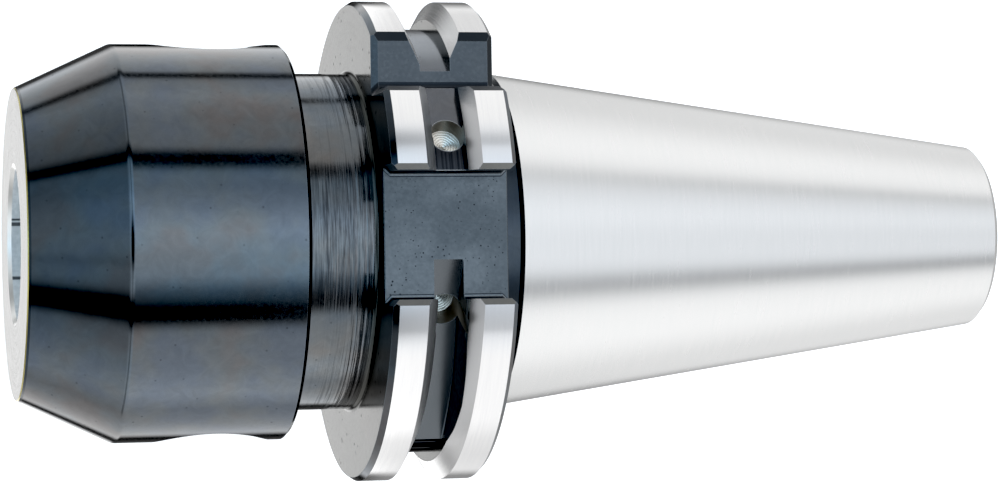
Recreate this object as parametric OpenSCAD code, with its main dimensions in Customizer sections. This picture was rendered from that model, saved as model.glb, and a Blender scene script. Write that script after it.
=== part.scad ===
// Side lock end mill holder with a 7:24 steep taper shank.
// X is the tool axis and runs from the nose to the small end of the taper. X is zero at the gauge line.
// One drive key slot faces +Z, the other faces -Z, and the clamping screw stands on +Y.

/* [Taper shank] */
// Diameter of the taper at the gauge line
gauge_d = 44.45; // [42:0.05:47]
// Length of the taper from the gauge line to its small end
taper_l = 68.4; // [60:0.1:80]
// Change of diameter per unit of length
taper_rate = 0.29167; // [0.28:0.00001:0.3]
// Chamfer at the small end
taper_end_chamfer = 0.6; // [0.3:0.1:1.5]
// Chamfer at the large end
taper_lead_chamfer = 0.6; // [0.3:0.1:0.9]
// Distance from the gauge line to the start of that chamfer
taper_lead = 0.8; // [0.6:0.1:1.6]

/* [Draw bar thread] */
// Core diameter of the M16 thread for the pull stud
stud_core_d = 13.9; // [12:0.1:15]
// Depth of the thread from the small end
stud_thread_l = 42; // [32:0.5:48]
// Diameter of the pilot that centres the pull stud
stud_pilot_d = 17; // [16.5:0.1:18.5]
// Depth of the pilot
stud_pilot_l = 8; // [5:0.5:12]
// Mouth chamfer of the pilot
stud_mouth_chamfer = 1.0; // [0.4:0.1:1.6]
// Diameter of the coolant way between the thread and the tool bore
coolant_d = 10; // [6:0.5:12]

/* [Flange] */
// Outside diameter of the flange
flange_d = 63.55; // [62:0.05:66]
// Distance from the gauge line to the flange's front face
flange_front = 19.1; // [17.5:0.1:21]
// Distance from the gauge line to the flange's back face
flange_back = 3.2; // [2.4:0.1:4]
// Length along the axis of the front rim chamfer
front_chamfer_l = 0.75; // [0.3:0.05:1.2]
// Depth of the front rim chamfer
front_chamfer_h = 0.5; // [0.3:0.05:1]
// Back rim chamfer
back_chamfer = 0.6; // [0.3:0.05:1]

/* [Gripper groove] */
// Distance from the gauge line to the middle of the vee
groove_x = 11.1; // [10.9:0.1:11.3]
// Included angle of the vee
groove_angle = 60; // [55:1:64]
// Diameter of the gauge pins that lie in the vee
groove_pin_d = 7; // [6.8:0.05:7.2]
// How far such a pin stands out of the rim
pin_stand = 4.375; // [4.2:0.025:4.7]
// Depth of the groove's root below the rim
root_depth = 3.65; // [3.4:0.05:4.2]
// Distance from the gauge line to the middle of the root
root_x = 10.9; // [10.7:0.1:11.2]
// Width of the root
root_w = 3.95; // [3.45:0.1:4.05]

/* [Drive key slots] */
// Width of both slots
slot_w = 16.1; // [14:0.1:18]
// Distance from the axis to the floor of the slot on +Z
shallow_floor = 25; // [24:0.1:27]
// Distance from the axis to the floor of the slot on -Z
deep_floor = 22.8; // [22.7:0.1:24]
// Chamfer where a slot leaves the rim and along its end edges
slot_chamfer = 0.8; // [0.3:0.1:1.2]
// Chamfer at the ends of a slot's floor
slot_floor_chamfer = 0.3; // [0.1:0.05:0.5]
// Radius of the fillets along the foot of each slot's walls
slot_fillet = 0.7; // [0.3:0.1:1.5]

/* [Orientation notch] */
// Distance from the axis to the notch's wall, which faces +Z
notch_wall = 18.5; // [17.5:0.1:20]
// Distance from the axis to the notch's floor, which faces +Y
notch_floor = 18.8; // [17.5:0.1:20]
// Chamfer along the notch's edges
notch_chamfer = 0.8; // [0.3:0.1:1.2]
// Radius of the fillet between the notch's sides
notch_fillet = 1; // [0.3:0.1:2]

/* [Body] */
// Distance from the nose face to the gauge line
nose_x = 63; // [58:0.5:80]
// Diameter of the nose face
nose_d = 40.7; // [38:0.1:44]
// Length of the cone behind the nose face
cone_l = 12; // [8:0.5:14]
// Diameter of the body
body_d = 52; // [48:0.5:56]
// Distance from the gauge line to the body's back shoulder
shoulder_x = 28.3; // [27:0.1:31]
// Chamfer of the shoulder's edge
shoulder_chamfer = 0.5; // [0.3:0.1:1]
// Break on the edge of the nose face
nose_break = 0.35; // [0.2:0.05:0.6]
// Diameter of the neck
neck_d = 44.4; // [42:0.1:45.4]
// Radius of the fillets at both ends of the neck
neck_fillet = 0.6; // [0.3:0.1:1.4]

/* [Tool bore] */
// Diameter of the bore for the cutter shank
bore_d = 20; // [16:0.5:22]
// Depth of the bore from the nose face
bore_l = 52; // [48:0.5:54]
// Chamfer at the bore's mouth
bore_chamfer = 0.8; // [0.3:0.1:1.5]

/* [Clamping screw] */
// Distance from the nose face to the screw's axis
screw_x = 25; // [23:0.5:27]
// Diameter of the screw over its thread
screw_d = 16; // [12:0.5:18]
// Length of the screw
screw_l = 14; // [11:0.5:15]
// Radial clearance between the screw and its hole
screw_gap = 0.1; // [0.05:0.01:0.2]
// Gap between the screw's tip and the tool bore
tip_gap = 0.2; // [0.1:0.05:1]
// Chamfer round the screw's tip
tip_chamfer = 1.6; // [0.8:0.1:2.4]
// Chamfer round the screw's top
top_chamfer = 0.9; // [0.4:0.1:1.6]
// Width of the hexagon socket across its flats
socket_w = 8; // [6:0.5:9]
// Depth of the hexagon socket
socket_l = 8; // [5:0.5:9]
// Width of the chamfer round the mouth of the screw's hole
screw_mouth = 0.4; // [0.2:0.05:0.8]

/* [Balancing cuts] */
// Diameter of the balancing bore opposite the screw
relief_d = 15.4; // [12:0.1:17]
// Depth of that bore below the body's surface
relief_l = 6; // [3:0.5:9]
// Angle of the milled flat in the groove, from +Z towards -Y
flat_angle = 32; // [28:1:36]
// Width of that flat, a little less than the root's
flat_w = 3.8; // [3.4:0.1:4.2]
// Depth of that flat below the root
flat_depth = 5.325; // [3.125:0.1:5.525]
// Diameter of the balancing holes, which nick both walls of the root
hole_d = 4.4; // [4.1:0.1:4.8]
// Angle of the upper hole, from +Z towards +Y
upper_hole_angle = 26.5; // [24:0.5:29]
// Depth of the upper hole below the root
upper_hole_depth = 2.7; // [1.2:0.1:4.2]
// Angle of the lower hole, from +Z towards -Y
lower_hole_angle = 23.5; // [22:0.5:34]
// Depth of the lower hole below the flat
lower_hole_depth = 4.1; // [2:0.1:5]

/* [Hidden] */
$fn = 96;

flange_r = flange_d / 2;
over = 1;
fillet_inset = 0.1;
half_slope = taper_rate / 2;
vee_tan = tan(groove_angle / 2);
vee_apex_r = flange_r + pin_stand - groove_pin_d / 2 - groove_pin_d / 2 / sin(groove_angle / 2);
root_r = flange_r - root_depth;
root_front = -root_x - root_w / 2;
root_back = -root_x + root_w / 2;
flat_r = root_r - flat_depth;
upper_hole_r = root_r - upper_hole_depth;
lower_hole_r = flat_r / cos(flat_angle - lower_hole_angle) - lower_hole_depth;
neck_r = neck_d / 2;
collar_r = taper_r(-taper_lead) - taper_lead_chamfer;
screw_hole_r = screw_d / 2 + screw_gap;
screw_tip_y = bore_d / 2 + tip_gap;

// Radius of the taper at a place on the axis
function taper_r(x) = gauge_d / 2 - half_slope * x;

// Radius of the vee's flank at a place on the axis
function vee_r(x) = vee_apex_r + abs(x + groove_x) / vee_tan;

// Place on the axis where a flank meets the rim, in front of the vee or behind it
function vee_x(side) = -groove_x + side * (flange_r - vee_apex_r) * vee_tan;

// Points of a round corner as [radius, place on the axis]
function corner(r, x, size, from, to, steps = 6) =
    [for (i = [0:steps]) let (a = from + (to - from) * i / steps) [r + size * cos(a), x + size * sin(a)]];

// Outline of the turned blank as [radius, place on the axis], from the nose to the taper's end
body_points = [
    [0, -nose_x],
    [nose_d / 2 - nose_break, -nose_x],
    [nose_d / 2, -nose_x + nose_break / 2],
    [body_d / 2, -nose_x + cone_l],
    [body_d / 2, -shoulder_x - shoulder_chamfer],
    [body_d / 2 - shoulder_chamfer, -shoulder_x]
];
neck_points = concat(
    corner(neck_r + neck_fillet, -shoulder_x + neck_fillet, neck_fillet, 270, 180),
    corner(neck_r + neck_fillet, -flange_front - neck_fillet, neck_fillet, 180, 90)
);
flange_points = [
    [flange_r - front_chamfer_h, -flange_front],
    [flange_r, -flange_front + front_chamfer_l],
    [flange_r, vee_x(-1)],
    [vee_r(root_front), root_front],
    [root_r, root_front],
    [root_r, root_back],
    [vee_r(root_back), root_back],
    [flange_r, vee_x(1)],
    [flange_r, -flange_back - back_chamfer],
    [flange_r - back_chamfer, -flange_back]
];
taper_points = [
    [collar_r, -flange_back],
    [collar_r, -taper_lead],
    [taper_r(taper_lead_chamfer - taper_lead), taper_lead_chamfer - taper_lead],
    [taper_r(taper_l - taper_end_chamfer), taper_l - taper_end_chamfer],
    [taper_r(taper_l) - taper_end_chamfer, taper_l],
    [0, taper_l]
];

// Turns an outline of [radius, place on the axis] about the tool axis
module turned(points) {
    rotate([0, 90, 0])
        rotate_extrude()
            polygon(points);
}

// Hole on the tool axis between two places, with a chamfer at the end that mouth names (-1, 0 or 1)
module axial_hole(d, from, to, mouth = 0, chamfer = 0) {
    r = d / 2;
    wide = r + chamfer + over;
    turned(concat(
        [[0, from - (mouth < 0 ? over : 0)]],
        mouth < 0 ? [[wide, from - over], [r, from + chamfer]] : [[r, from]],
        mouth > 0 ? [[r, to - chamfer], [wide, to + over]] : [[r, to]],
        [[0, to + (mouth > 0 ? over : 0)]]
    ));
}

// Hole that points at the axis from an angle about it, from +Z towards -Y, with its bottom at bottom_r
module radial_hole(x, angle, d, bottom_r, top_r) {
    rotate([angle, 0, 0])
        translate([x, 0, bottom_r])
            cylinder(d = d, h = top_r - bottom_r);
}

// Side view of a cut through the flange: flat between the faces, with chamfers at both ends
module through_cut(height, chamfer) {
    polygon([
        [-flange_front - over, height - chamfer],
        [-flange_front, height - chamfer],
        [-flange_front + chamfer, height],
        [-flange_back - chamfer, height],
        [-flange_back, height - chamfer],
        [-flange_back + over, height - chamfer],
        [-flange_back + over, flange_r + over],
        [-flange_front - over, flange_r + over]
    ]);
}

// Chamfer where a flat wall meets the rim. edge is the sharp corner as [Y, Z], wall the way along the
// wall from it towards the axis, and turn is 1 or -1 for the way round the rim
module rim_chamfer(edge, wall, turn, size) {
    out = edge / norm(edge);
    around = turn * [out[1], -out[0]];
    translate([-flange_front - over, 0, 0])
        rotate([90, 0, 90])
            linear_extrude(flange_front - flange_back + 2 * over)
                polygon([
                    edge + size * wall,
                    edge + size * around,
                    edge + 2 * size * (around + out),
                    edge - 2 * size * wall - size * around
                ]);
}

// Fillet left in the corner of a cut between its end chamfers. foot is the sharp corner as [Y, Z], and
// way is the signs of Y and Z from it into the cut
module foot_fillet(foot, way, r, chamfer) {
    inset = chamfer + fillet_inset;
    translate([-flange_front + inset, 0, 0])
        rotate([90, 0, 90])
            linear_extrude(flange_front - flange_back - 2 * inset)
                polygon([
                    for (p = concat([[-over, -over], [r, -over]], corner(r, r, r, 270, 180), [[-over, r]]))
                        [foot[0] + way[0] * p[0], foot[1] + way[1] * p[1]]
                ]);
}

// Drive key slot with its floor at a distance from the axis on +Z
module key_slot(floor_r) {
    half_w = slot_w / 2;
    rim_z = sqrt(flange_r * flange_r - half_w * half_w);
    difference() {
        intersection() {
            rotate([90, 0, 0])
                linear_extrude(slot_w + 4 * slot_chamfer, center = true)
                    through_cut(floor_r, slot_floor_chamfer);
            linear_extrude(flange_r + over) {
                slot_half(half_w);
                mirror([0, 1])
                    slot_half(half_w);
            }
        }
        for (side = [-1, 1])
            foot_fillet([side * half_w, floor_r], [-side, 1], slot_fillet, slot_chamfer);
    }
    for (side = [-1, 1])
        rim_chamfer([side * half_w, rim_z], [0, -1], side, slot_chamfer);
}

// Half of a slot seen from above, wider at both faces by the chamfer
module slot_half(half_w) {
    polygon([
        [-flange_front - over, -over],
        [-flange_front - over, half_w + slot_chamfer],
        [-flange_front, half_w + slot_chamfer],
        [-flange_front + slot_chamfer, half_w],
        [-flange_back - slot_chamfer, half_w],
        [-flange_back, half_w + slot_chamfer],
        [-flange_back + over, half_w + slot_chamfer],
        [-flange_back + over, -over]
    ]);
}

// Notch with two flat sides, which tells the two key slots apart
module orientation_notch() {
    wall_y = sqrt(flange_r * flange_r - notch_wall * notch_wall);
    floor_z = sqrt(flange_r * flange_r - notch_floor * notch_floor);
    difference() {
        intersection() {
            rotate([90, 0, 0])
                linear_extrude(2 * flange_d, center = true)
                    through_cut(notch_wall, notch_chamfer);
            linear_extrude(flange_d)
                through_cut(notch_floor, notch_chamfer);
        }
        foot_fillet([notch_floor, notch_wall], [1, 1], notch_fillet, notch_chamfer);
    }
    rim_chamfer([wall_y, notch_wall], [-1, 0], 1, notch_chamfer);
    rim_chamfer([notch_floor, floor_z], [0, -1], -1, notch_chamfer);
}

// Flat and two drilled holes in the groove's root, cut when the holder was balanced
module balancing_cuts() {
    rotate([flat_angle, 0, 0])
        translate([-root_x - flat_w / 2, -root_r, flat_r])
            cube([flat_w, 2 * root_r, flat_depth + over]);
    radial_hole(-root_x, -upper_hole_angle, hole_d, upper_hole_r, root_r + over);
    radial_hole(-root_x, lower_hole_angle, hole_d, lower_hole_r, root_r + over);
}

// Blind bore in the body on -Y, opposite the screw
module relief_bore() {
    translate([screw_x - nose_x, -body_d / 2 + relief_l, 0])
        rotate([90, 0, 0])
            cylinder(d = relief_d, h = relief_l + over);
}

// Hole for the clamping screw on +Y, from the tool bore to the outside
module screw_hole() {
    translate([screw_x - nose_x, 0, 0])
        rotate([-90, 0, 0]) {
            cylinder(r = screw_hole_r, h = body_d / 2 + over);
            translate([0, 0, body_d / 2 - screw_mouth])
                cylinder(r1 = screw_hole_r, r2 = screw_hole_r + screw_mouth + over, h = screw_mouth + over);
        }
}

// Turned, milled and ground body in one piece
module holder_body() {
    color("dimgray")
        difference() {
            turned(concat(body_points, neck_points, flange_points, taper_points));
            axial_hole(bore_d, -nose_x, bore_l - nose_x, -1, bore_chamfer);
            axial_hole(coolant_d, bore_l - nose_x - over, taper_l - stud_thread_l + over);
            axial_hole(stud_core_d, taper_l - stud_thread_l, taper_l);
            axial_hole(stud_pilot_d, taper_l - stud_pilot_l, taper_l, 1, stud_mouth_chamfer);
            key_slot(shallow_floor);
            mirror([0, 0, 1])
                key_slot(deep_floor);
            orientation_notch();
            balancing_cuts();
            relief_bore();
            screw_hole();
        }
}

// Headless clamping screw with a flat tip and a hexagon socket
module clamping_screw() {
    r = screw_d / 2;
    socket_corner = socket_w / sqrt(3);
    color("darkslategray")
        translate([screw_x - nose_x, screw_tip_y, 0])
            rotate([-90, 0, 0])
                difference() {
                    rotate_extrude()
                        polygon([
                            [0, 0],
                            [r - tip_chamfer, 0],
                            [r, tip_chamfer],
                            [r, screw_l - top_chamfer],
                            [r - top_chamfer, screw_l],
                            [0, screw_l]
                        ]);
                    translate([0, 0, screw_l - socket_l])
                        cylinder(r = socket_corner, h = socket_l + over, $fn = 6);
                    translate([0, 0, screw_l - socket_corner / 4])
                        cylinder(r1 = socket_corner * 0.8, r2 = socket_corner * 1.4, h = socket_corner * 0.6);
                }
}

holder_body();
clamping_screw();
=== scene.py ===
import math

import bmesh
import bpy
from mathutils import Matrix, Vector


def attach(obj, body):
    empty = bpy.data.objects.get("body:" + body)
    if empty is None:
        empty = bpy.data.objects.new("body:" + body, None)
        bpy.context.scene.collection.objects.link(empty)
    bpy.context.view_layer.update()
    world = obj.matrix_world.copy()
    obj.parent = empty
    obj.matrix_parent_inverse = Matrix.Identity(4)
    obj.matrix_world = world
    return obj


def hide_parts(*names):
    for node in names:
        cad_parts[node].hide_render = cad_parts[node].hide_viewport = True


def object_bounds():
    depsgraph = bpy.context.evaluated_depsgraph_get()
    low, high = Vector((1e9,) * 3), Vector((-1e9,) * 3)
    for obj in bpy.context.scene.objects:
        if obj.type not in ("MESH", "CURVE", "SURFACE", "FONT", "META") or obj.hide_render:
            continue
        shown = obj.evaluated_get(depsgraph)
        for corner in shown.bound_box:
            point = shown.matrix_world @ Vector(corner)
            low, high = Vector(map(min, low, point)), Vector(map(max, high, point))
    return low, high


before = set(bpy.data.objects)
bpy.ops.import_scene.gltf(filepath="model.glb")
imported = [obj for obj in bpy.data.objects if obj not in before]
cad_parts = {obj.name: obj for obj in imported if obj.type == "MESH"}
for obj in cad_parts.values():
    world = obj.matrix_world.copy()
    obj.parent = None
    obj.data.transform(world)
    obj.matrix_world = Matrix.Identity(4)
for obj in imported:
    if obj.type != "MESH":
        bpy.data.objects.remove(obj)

# Side lock end mill holder with a 7:24 steep taper. X is the tool axis, +Y the clamping screw and +Z the shallow key
# slot. Sizes in the dictionaries are in millimetres; meshes are made in millimetres and scaled to metres at the end.
mm = 0.001
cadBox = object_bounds()
scene = bpy.context.scene
scene.view_settings.view_transform = "Standard"
scene.view_settings.use_curve_mapping = True
scene.view_settings.curve_mapping.black_level = (0.012, 0.012, 0.012)  # deep blacks, as in a catalogue picture
print("frame loaded")


# Small helpers for materials

def linearColour(code):  # sRGB hex to linear RGBA
    parts = [int(code[i:i + 2], 16) / 255 for i in (1, 3, 5)]
    return tuple(c / 12.92 if c <= 0.04045 else ((c + 0.055) / 1.055) ** 2.4 for c in parts) + (1.0,)


def addNode(tree, kind, inputs=None, **settings):  # an input is a value, a socket, or a node for its first output
    node = tree.nodes.new("ShaderNode" + kind)
    for name, value in settings.items():
        setattr(node, name, value)
    for name, value in (inputs or {}).items():
        if isinstance(value, bpy.types.Node):
            value = value.outputs[0]
        if isinstance(value, bpy.types.NodeSocket):
            tree.links.new(value, node.inputs[name])
        else:
            node.inputs[name].default_value = value
    return node


def fillRamp(node, stops, low=0.0, high=1.0):  # stops are (place from low to high, hex colour or brightness)
    ramp = node.color_ramp
    ramp.elements.remove(ramp.elements[-1])
    for n, (at, shade) in enumerate(stops):
        share = (at - low) / (high - low)
        point = ramp.elements.new(share) if n else ramp.elements[0]
        point.position = share
        point.color = linearColour(shade) if isinstance(shade, str) else (shade, shade, shade, 1)
    return node


def newMaterial(name):
    material = bpy.data.materials.new(name)
    material.use_nodes = True
    material.node_tree.nodes.clear()
    return material, material.node_tree


def axisCoords(tree, turns):  # along the axis and round it, so marks run round the part without a seam
    spot = addNode(tree, "TexCoord").outputs["Object"]
    xyz = addNode(tree, "SeparateXYZ", {0: spot})
    flat = addNode(tree, "CombineXYZ", {"Y": xyz.outputs["Y"], "Z": xyz.outputs["Z"]})
    radius = addNode(tree, "VectorMath", {0: flat}, operation="LENGTH").outputs["Value"]
    around = addNode(tree, "VectorMath", {0: flat}, operation="NORMALIZE")
    around = addNode(tree, "VectorMath", {0: around, "Scale": turns}, operation="SCALE")
    return spot, xyz, radius, around


def edgeMask(tree, reach):  # 1 along outer edges, where handling has rubbed the finish thin
    inside = addNode(tree, "AmbientOcclusion", {"Distance": reach * mm}, inside=True, only_local=True, samples=6)
    return addNode(tree, "MapRange", {"Value": inside.outputs["AO"], "From Min": 0.95, "From Max": 0.6})


# Materials. Each noise scale is one over the mark's size in metres.

marksAndPaintedLight = {  # where the marks, the painted light and the painted shade lie on the holder, in millimetres from the gauge line and the axis
    "chatter": (-27.5, -20.5), "chatterRing": 0.28,
    "neckReflectionShade": (-28.2, -26.2), "neckReflectionFacing": (1.8, 1.86),  # the second on a vector round the axis that is 2 long
    "paintedReflection": (20.5, 26.2), "floorShadowFrom": (-25.97, -26.03), "floorShadowLines": (-26.42, -27.32), "floorShadowLineHalf": (0.08, 0.15),
    "pool": (-10.9, 10.4, 26.2), "poolReach": (3.6, 2.6),
    "coolant": (-57.5, -58.5), "coolantLines": ((-4.2, 0.27), (2.95, 0.3), (3.55, 0.16)),
}
# The first colour darkens real etched specks and tool chatter, the painted dark reflection on the neck and the darker
# patch by the upper hole; the second is real pits; the third is a painted reflection of the holder's shadow, the
# fourth painted dark reflection lines in the bore, the fifth painted light on the groove root.
etchedAndShadeDark, sooty, floorShadowColour, boreReflectionColour, paintedLightColour = "#24262a", "#24272b", "#060708", "#26282e", "#c8cfd6"
worn = "#7d8389"


def lineMask(tree, coordinate, at, inner, outer, start, end=1.0):  # start on a line at one coordinate, end off it
    apart = addNode(tree, "Math", {0: coordinate, 1: -at * mm}, operation="ADD")
    apart = addNode(tree, "Math", {0: apart}, operation="ABSOLUTE")
    return addNode(tree, "MapRange", {"Value": apart, "From Min": inner * mm, "From Max": outer * mm,
                                      "To Min": start, "To Max": end})


def neckReflectionLines(tree, xyz, around, along, strength):  # painted dark reflection on the neck's upper side, broken into fine lines
    upright = addNode(tree, "SeparateXYZ", {0: around}).outputs["Z"]
    low, high = marksAndPaintedLight["neckReflectionFacing"]
    top = addNode(tree, "MapRange", {"Value": upright, "From Min": low, "From Max": high, "To Max": strength})
    start, full = marksAndPaintedLight["neckReflectionShade"]
    comesIn = addNode(tree, "MapRange", {"Value": xyz.outputs["X"], "From Min": start * mm, "From Max": full * mm,
                                         "To Min": 0.5})
    broken = addNode(tree, "VectorMath", {0: around, 1: (1.6, 1.6, 1.6), 2: along}, operation="MULTIPLY_ADD")
    lines = addNode(tree, "TexNoise", {"Vector": broken, "Scale": 1.4, "Detail": 3.0, "Roughness": 0.6})
    lines = addNode(tree, "MapRange", {"Value": lines, "From Min": 0.38, "From Max": 0.62})
    lines = addNode(tree, "Math", {0: lines, 1: top}, operation="MULTIPLY")
    return addNode(tree, "Math", {0: lines, 1: comesIn}, operation="MULTIPLY")


def darkPool(tree, spot, xyz, strength):  # darker patch between the upper hole and the key slot, with streaks along X
    centre = tuple(c * mm for c in marksAndPaintedLight["pool"])
    away = addNode(tree, "VectorMath", {0: spot, 1: centre}, operation="DISTANCE").outputs["Value"]
    outer, inner = marksAndPaintedLight["poolReach"]
    pool = addNode(tree, "MapRange", {"Value": away, "From Min": outer * mm, "From Max": inner * mm})
    runs = addNode(tree, "TexNoise", {"Vector": xyz.outputs["X"], "Scale": 1 / (0.5 * mm), "Detail": 2.0})
    depth = addNode(tree, "MapRange", {"Value": runs, "From Min": 0.35, "From Max": 0.65,
                                       "To Min": strength, "To Max": 0.6 * strength})
    return addNode(tree, "Math", {0: pool, 1: depth}, operation="MULTIPLY")


def blackOxideTurned(name, stops, dull, chatter, edgeTint=1.0, speckShare=0.45, speckSize=0.07, rubbed=worn,
                     pooled=0.0, neckReflectionShade=0.0, paintedReflection=0.0):
    # Steel turned on a lathe and blackened in a hot oxide bath: dark, blue-grey to brownish, half sharp reflections
    # with fine rings; towards the flange the tool chattered and left short dark streaks round the neck
    material, tree = newMaterial(name)
    spot, xyz, radius, around = axisCoords(tree, 2.0)
    along = addNode(tree, "Math", {0: xyz.outputs["X"], 1: radius}, operation="ADD")
    along = addNode(tree, "Math", {0: along, 1: 1 / (marksAndPaintedLight["chatterRing"] * mm)}, operation="MULTIPLY")
    along = addNode(tree, "CombineXYZ", {"X": along})
    turned = addNode(tree, "VectorMath", {0: along, 1: around}, operation="ADD")
    rings = addNode(tree, "TexNoise", {"Vector": turned, "Scale": 1.0, "Detail": 2.0, "Roughness": 0.6})
    first, last = marksAndPaintedLight["chatter"]
    zone = addNode(tree, "MapRange", {"Value": xyz.outputs["X"], "From Min": first * mm, "From Max": last * mm})
    cloud = addNode(tree, "TexNoise", {"Vector": spot, "Scale": 1 / (12 * mm), "Detail": 3.0, "Roughness": 0.55})
    grain = addNode(tree, "TexNoise", {"Vector": spot, "Scale": 1 / (0.45 * mm), "Detail": 2.0})
    speck = addNode(tree, "TexVoronoi", {"Vector": spot, "Scale": 1 / (1.9 * mm)})
    speck = addNode(tree, "MapRange", {"Value": speck, "From Min": 0.7 * speckSize, "From Max": 1.3 * speckSize,
                                       "To Min": speckShare, "To Max": 0.0})
    tint = fillRamp(addNode(tree, "ValToRGB", {"Fac": cloud}), stops)
    wiped = addNode(tree, "TexNoise", {"Vector": spot, "Scale": 1 / (2.4 * mm), "Detail": 5.0, "Roughness": 0.7,
                                       "Distortion": 1.2})
    wiped = addNode(tree, "MapRange", {"Value": wiped, "From Min": 0.3, "From Max": 0.7,
                                       "To Min": 0.9, "To Max": 1.1})
    colour = addNode(tree, "VectorMath", {0: tint, "Scale": wiped}, operation="SCALE")
    if paintedReflection:  # painted light: the root is painted paler towards the notch, on its +Y side
        near, far = marksAndPaintedLight["paintedReflection"]
        side = addNode(tree, "MapRange", {"Value": xyz.outputs["Y"], "From Min": near * mm, "From Max": far * mm,
                                          "To Max": paintedReflection})
        colour = addNode(tree, "MixRGB", {"Fac": side, "Color1": colour, "Color2": linearColour(paintedLightColour)})
    streak = addNode(tree, "MapRange", {"Value": rings, "From Min": 0.52, "From Max": 0.66,
                                        "To Max": min(chatter, 0.7)})
    streak = addNode(tree, "Math", {0: streak, 1: zone}, operation="MULTIPLY")
    dark = addNode(tree, "Math", {0: streak, 1: speck}, operation="MAXIMUM")
    # painted dark reflection on the neck's upper side
    if neckReflectionShade:
        dark = addNode(tree, "Math", {0: dark, 1: neckReflectionLines(tree, xyz, around, along, neckReflectionShade)}, operation="MAXIMUM")
    if pooled:
        dark = addNode(tree, "Math", {0: dark, 1: darkPool(tree, spot, xyz, pooled)}, operation="MAXIMUM")
    colour = addNode(tree, "MixRGB", {"Fac": dark, "Color1": colour, "Color2": linearColour(etchedAndShadeDark)})
    edge = edgeMask(tree, 0.15)
    colour = addNode(tree, "MixRGB", {"Fac": edge, "Color1": colour, "Color2": linearColour(rubbed)})
    grazing = (edgeTint, edgeTint, edgeTint, 1)
    if paintedReflection:  # painted reflection of the holder's own shadow on the floor: nearly black and without grazing reflection, from where the balancing flat runs out, with two thin lighter lines in it
        start, full = marksAndPaintedLight["floorShadowFrom"]
        floorShadowMask = addNode(tree, "MapRange", {"Value": xyz.outputs["Y"], "From Min": start * mm, "From Max": full * mm})
        for y in marksAndPaintedLight["floorShadowLines"]:
            line = lineMask(tree, xyz.outputs["Y"], y, *marksAndPaintedLight["floorShadowLineHalf"], 0.3)
            floorShadowMask = addNode(tree, "Math", {0: floorShadowMask, 1: line}, operation="MULTIPLY")
        colour = addNode(tree, "MixRGB", {"Fac": floorShadowMask, "Color1": colour, "Color2": linearColour(floorShadowColour)})
        grazing = addNode(tree, "MixRGB", {"Fac": floorShadowMask, "Color1": grazing, "Color2": (0, 0, 0, 1)})
    grazing = addNode(tree, "MixRGB", {"Fac": dark, "Color1": grazing, "Color2": (0.1, 0.1, 0.1, 1)})
    sheen = addNode(tree, "MapRange", {"Value": grain, "From Min": 0.3, "From Max": 0.7,
                                       "To Min": dull, "To Max": dull + 0.05})
    rough = addNode(tree, "Math", {0: edge, 1: 0.4, 2: sheen}, operation="MULTIPLY_ADD")
    height = addNode(tree, "Math", {0: grain, 1: 0.15, 2: rings}, operation="MULTIPLY_ADD")
    relief = addNode(tree, "MapRange", {"Value": zone, "To Min": 0.02, "To Max": chatter})
    bump = addNode(tree, "Bump", {"Strength": relief, "Distance": 0.04 * mm, "Height": height})
    shader = addNode(tree, "BsdfPrincipled", {"Base Color": colour, "Metallic": 1.0, "Roughness": rough,
                                              "Specular Tint": grazing, "Normal": bump})
    addNode(tree, "OutputMaterial", {"Surface": shader})
    return material


def blackOxideMilled(name, stops, dull, pits=0.12, relief=0.07):
    # The same black oxide over milled faces: duller, with small dark pits where the bath etched the steel
    material, tree = newMaterial(name)
    spot = addNode(tree, "TexCoord").outputs["Object"]
    cloud = addNode(tree, "TexNoise", {"Vector": spot, "Scale": 1 / (9 * mm), "Detail": 4.0, "Roughness": 0.55})
    fine = addNode(tree, "TexNoise", {"Vector": spot, "Scale": 1 / (0.4 * mm), "Detail": 2.0})
    cells = addNode(tree, "TexVoronoi", {"Vector": spot, "Scale": 1 / (0.6 * mm), "Randomness": 1.0})
    patch = addNode(tree, "TexNoise", {"Vector": spot, "Scale": 1 / (4 * mm), "Detail": 1.0})
    patch = addNode(tree, "MapRange", {"Value": patch, "From Min": 0.4, "From Max": 0.75,
                                       "To Min": 0.45 * pits, "To Max": pits})
    pit = addNode(tree, "Math", {0: patch, 1: cells}, operation="SUBTRACT")
    pit = addNode(tree, "MapRange", {"Value": pit, "From Min": 0.0, "From Max": 0.08})
    colour = fillRamp(addNode(tree, "ValToRGB", {"Fac": cloud}), stops)
    colour = addNode(tree, "MixRGB", {"Fac": pit, "Color1": colour, "Color2": linearColour(sooty)})
    edge = edgeMask(tree, 0.12)
    colour = addNode(tree, "MixRGB", {"Fac": edge, "Color1": colour, "Color2": linearColour(worn)})
    sheen = addNode(tree, "MapRange", {"Value": fine, "From Min": 0.3, "From Max": 0.7,
                                       "To Min": dull, "To Max": dull + min(0.1, 1.4 * relief)})
    rough = addNode(tree, "Math", {0: edge, 1: 0.3, 2: sheen}, operation="MULTIPLY_ADD")
    bump = addNode(tree, "Bump", {"Strength": relief, "Distance": 0.02 * mm, "Height": fine})
    shader = addNode(tree, "BsdfPrincipled", {"Base Color": colour, "Metallic": 1.0, "Roughness": rough,
                                              "Normal": bump})
    addNode(tree, "OutputMaterial", {"Surface": shader})
    return material


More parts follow.
